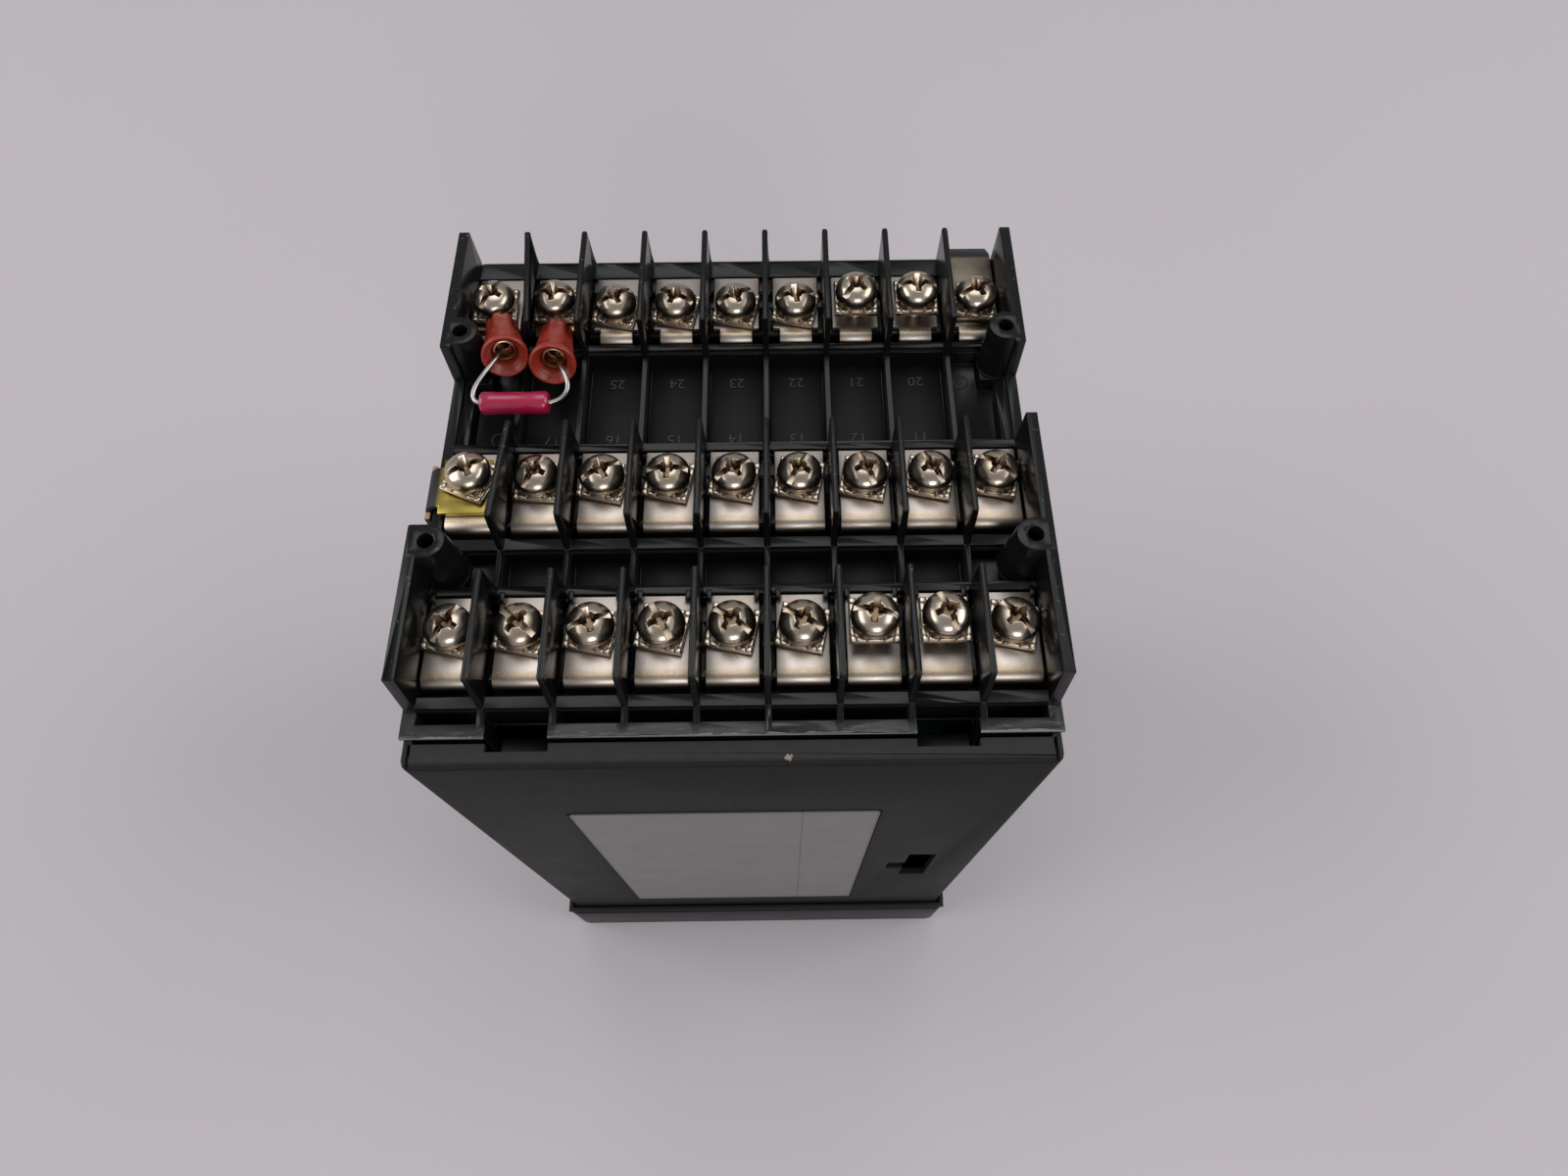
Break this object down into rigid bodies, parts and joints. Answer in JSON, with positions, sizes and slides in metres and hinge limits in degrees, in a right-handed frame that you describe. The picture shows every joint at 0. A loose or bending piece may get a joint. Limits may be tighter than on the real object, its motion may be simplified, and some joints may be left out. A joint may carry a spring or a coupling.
{
  "type": "panel-mount process controller",
  "caption": "Square panel instrument with a deep black case, clip-in front chassis and a rear block of screw clamp terminals in three rows.",
  "frame": {"origin": "centre of the front bezel's face, which it stands on", "axes": "+Z from the front bezel to the rear terminals, +X to the right and +Y away from the side with the rating label"},
  "size_m": [0.096, 0.096, 0.1599],
  "materials": {
    "bezel_plastic": "fine matt black moulding",
    "black_plastic": "satin black moulding, slightly worn",
    "gasket_rubber": "matt",
    "window_plastic": "smoked clear",
    "display_glass": "glossy grey",
    "key_plastic": "matt grey",
    "circuit_board": "green solder resist",
    "frame_plastic": "matt dark grey",
    "core_steel": "varnished laminations",
    "contact_metal": "nickel plate, warm and slightly tarnished",
    "terminal_screw": "nickel plate, warm and slightly tarnished",
    "screw_steel": "zinc plate",
    "clip_zinc": "yellow-passivated zinc",
    "lug_copper": "tinned copper",
    "label_film": "satin grey film",
    "resistor_lacquer": "glossy magenta lacquer",
    "tinned_wire": "tinned copper wire",
    "red_vinyl": "translucent red vinyl"
  },
  "bodies": {
    "chassis": {"bezel": "bezel_plastic", "bezel_gasket": "gasket_rubber", "display_window": "window_plastic", "display_module": "display_glass", "front_board": "circuit_board", "chassis_frame": "frame_plastic", "processor_board": "circuit_board", "power_board": "circuit_board", "transformer": "core_steel", "chassis_screw": "screw_steel"},
    "case": {"case_sleeve": "black_plastic", "rating_label": "label_film", "terminal_block": "black_plastic", "near_contacts": "contact_metal", "middle_contacts": "contact_metal", "far_contacts": "contact_metal", "earth_clip_left": "clip_zinc", "earth_clip_rear": "clip_zinc", "ring_terminal_left": "lug_copper", "ring_terminal_right": "lug_copper", "terminal_sleeve_left": "red_vinyl", "terminal_sleeve_right": "red_vinyl", "resistor_body": "resistor_lacquer", "resistor_leads": "tinned_wire", "rear_edge_connector": "black_plastic"},
    "button_1": {"key_1": "key_plastic"},
    "button_2": {"key_2": "key_plastic"},
    "button_3": {"key_3": "key_plastic"},
    "button_4": {"key_4": "key_plastic"},
    "button_5": {"key_5": "key_plastic"},
    "button_6": {"key_6": "key_plastic"},
    "button_7": {"key_7": "key_plastic"},
    "button_8": {"key_8": "key_plastic"},
    "clamp_near_1": {"screw_near_1": "terminal_screw"},
    "clamp_near_2": {"screw_near_2": "terminal_screw"},
    "clamp_near_3": {"screw_near_3": "terminal_screw"},
    "clamp_near_4": {"screw_near_4": "terminal_screw"},
    "clamp_near_5": {"screw_near_5": "terminal_screw"},
    "clamp_near_6": {"screw_near_6": "terminal_screw"},
    "clamp_near_7": {"screw_near_7": "terminal_screw"},
    "clamp_near_8": {"screw_near_8": "terminal_screw"},
    "clamp_near_9": {"screw_near_9": "terminal_screw"},
    "clamp_middle_1": {"screw_middle_1": "terminal_screw"},
    "clamp_middle_2": {"screw_middle_2": "terminal_screw"},
    "clamp_middle_3": {"screw_middle_3": "terminal_screw"},
    "clamp_middle_4": {"screw_middle_4": "terminal_screw"},
    "clamp_middle_5": {"screw_middle_5": "terminal_screw"},
    "clamp_middle_6": {"screw_middle_6": "terminal_screw"},
    "clamp_middle_7": {"screw_middle_7": "terminal_screw"},
    "clamp_middle_8": {"screw_middle_8": "terminal_screw"},
    "clamp_middle_9": {"screw_middle_9": "terminal_screw"},
    "clamp_far_1": {"screw_far_1": "terminal_screw"},
    "clamp_far_2": {"screw_far_2": "terminal_screw"},
    "clamp_far_3": {"screw_far_3": "terminal_screw"},
    "clamp_far_4": {"screw_far_4": "terminal_screw"},
    "clamp_far_5": {"screw_far_5": "terminal_screw"},
    "clamp_far_6": {"screw_far_6": "terminal_screw"},
    "clamp_far_7": {"screw_far_7": "terminal_screw"},
    "clamp_far_8": {"screw_far_8": "terminal_screw"},
    "clamp_far_9": {"screw_far_9": "terminal_screw"}
  },
  "joints": [
    {"name": "case_slide", "type": "slide", "parent": "chassis", "child": "case", "axis": [0, 0, 1], "range_m": [0, 0.15]},
    {"name": "key_1_press", "type": "slide", "parent": "chassis", "child": "button_1", "axis": [0, 0, 1], "range_m": [0, 0.0008], "stiffness_N_per_m": 1500},
    {"name": "key_2_press", "type": "slide", "parent": "chassis", "child": "button_2", "axis": [0, 0, 1], "range_m": [0, 0.0008], "stiffness_N_per_m": 1500},
    {"name": "key_3_press", "type": "slide", "parent": "chassis", "child": "button_3", "axis": [0, 0, 1], "range_m": [0, 0.0008], "stiffness_N_per_m": 1500},
    {"name": "key_4_press", "type": "slide", "parent": "chassis", "child": "button_4", "axis": [0, 0, 1], "range_m": [0, 0.0008], "stiffness_N_per_m": 1500},
    {"name": "key_5_press", "type": "slide", "parent": "chassis", "child": "button_5", "axis": [0, 0, 1], "range_m": [0, 0.0008], "stiffness_N_per_m": 1500},
    {"name": "key_6_press", "type": "slide", "parent": "chassis", "child": "button_6", "axis": [0, 0, 1], "range_m": [0, 0.0008], "stiffness_N_per_m": 1500},
    {"name": "key_7_press", "type": "slide", "parent": "chassis", "child": "button_7", "axis": [0, 0, 1], "range_m": [0, 0.0008], "stiffness_N_per_m": 1500},
    {"name": "key_8_press", "type": "slide", "parent": "chassis", "child": "button_8", "axis": [0, 0, 1], "range_m": [0, 0.0008], "stiffness_N_per_m": 1500},
    {"name": "screw_near_1_lift", "type": "slide", "parent": "case", "child": "clamp_near_1", "axis": [0, 0, 1], "range_m": [0, 0.0045]},
    {"name": "screw_near_2_lift", "type": "slide", "parent": "case", "child": "clamp_near_2", "axis": [0, 0, 1], "range_m": [0, 0.0045]},
    {"name": "screw_near_3_lift", "type": "slide", "parent": "case", "child": "clamp_near_3", "axis": [0, 0, 1], "range_m": [0, 0.0045]},
    {"name": "screw_near_4_lift", "type": "slide", "parent": "case", "child": "clamp_near_4", "axis": [0, 0, 1], "range_m": [0, 0.0045]},
    {"name": "screw_near_5_lift", "type": "slide", "parent": "case", "child": "clamp_near_5", "axis": [0, 0, 1], "range_m": [0, 0.0045]},
    {"name": "screw_near_6_lift", "type": "slide", "parent": "case", "child": "clamp_near_6", "axis": [0, 0, 1], "range_m": [0, 0.0045]},
    {"name": "screw_near_7_lift", "type": "slide", "parent": "case", "child": "clamp_near_7", "axis": [0, 0, 1], "range_m": [-0.0022, 0.0022]},
    {"name": "screw_near_8_lift", "type": "slide", "parent": "case", "child": "clamp_near_8", "axis": [0, 0, 1], "range_m": [-0.0022, 0.0022]},
    {"name": "screw_near_9_lift", "type": "slide", "parent": "case", "child": "clamp_near_9", "axis": [0, 0, 1], "range_m": [0, 0.0045]},
    {"name": "screw_middle_1_lift", "type": "slide", "parent": "case", "child": "clamp_middle_1", "axis": [0, 0, 1], "range_m": [0, 0.0045]},
    {"name": "screw_middle_2_lift", "type": "slide", "parent": "case", "child": "clamp_middle_2", "axis": [0, 0, 1], "range_m": [0, 0.002]},
    {"name": "screw_middle_3_lift", "type": "slide", "parent": "case", "child": "clamp_middle_3", "axis": [0, 0, 1], "range_m": [0, 0.0045]},
    {"name": "screw_middle_4_lift", "type": "slide", "parent": "case", "child": "clamp_middle_4", "axis": [0, 0, 1], "range_m": [0, 0.0045]},
    {"name": "screw_middle_5_lift", "type": "slide", "parent": "case", "child": "clamp_middle_5", "axis": [0, 0, 1], "range_m": [0, 0.0045]},
    {"name": "screw_middle_6_lift", "type": "slide", "parent": "case", "child": "clamp_middle_6", "axis": [0, 0, 1], "range_m": [0, 0.0045]},
    {"name": "screw_middle_7_lift", "type": "slide", "parent": "case", "child": "clamp_middle_7", "axis": [0, 0, 1], "range_m": [0, 0.0045]},
    {"name": "screw_middle_8_lift", "type": "slide", "parent": "case", "child": "clamp_middle_8", "axis": [0, 0, 1], "range_m": [0, 0.0045]},
    {"name": "screw_middle_9_lift", "type": "slide", "parent": "case", "child": "clamp_middle_9", "axis": [0, 0, 1], "range_m": [0, 0.0045]},
    {"name": "screw_far_1_lift", "type": "slide", "parent": "case", "child": "clamp_far_1", "axis": [0, 0, 1], "range_m": [0, 0.0045]},
    {"name": "screw_far_2_lift", "type": "slide", "parent": "case", "child": "clamp_far_2", "axis": [0, 0, 1], "range_m": [0, 0.0007]},
    {"name": "screw_far_3_lift", "type": "slide", "parent": "case", "child": "clamp_far_3", "axis": [0, 0, 1], "range_m": [0, 0.0045]},
    {"name": "screw_far_4_lift", "type": "slide", "parent": "case", "child": "clamp_far_4", "axis": [0, 0, 1], "range_m": [0, 0.0045]},
    {"name": "screw_far_5_lift", "type": "slide", "parent": "case", "child": "clamp_far_5", "axis": [0, 0, 1], "range_m": [0, 0.0045]},
    {"name": "screw_far_6_lift", "type": "slide", "parent": "case", "child": "clamp_far_6", "axis": [0, 0, 1], "range_m": [0, 0.0045]},
    {"name": "screw_far_7_lift", "type": "slide", "parent": "case", "child": "clamp_far_7", "axis": [0, 0, 1], "range_m": [-0.0022, 0.0022]},
    {"name": "screw_far_8_lift", "type": "slide", "parent": "case", "child": "clamp_far_8", "axis": [0, 0, 1], "range_m": [-0.0022, 0.0022]},
    {"name": "screw_far_9_lift", "type": "slide", "parent": "case", "child": "clamp_far_9", "axis": [0, 0, 1], "range_m": [0, 0.0045]}
  ]
}
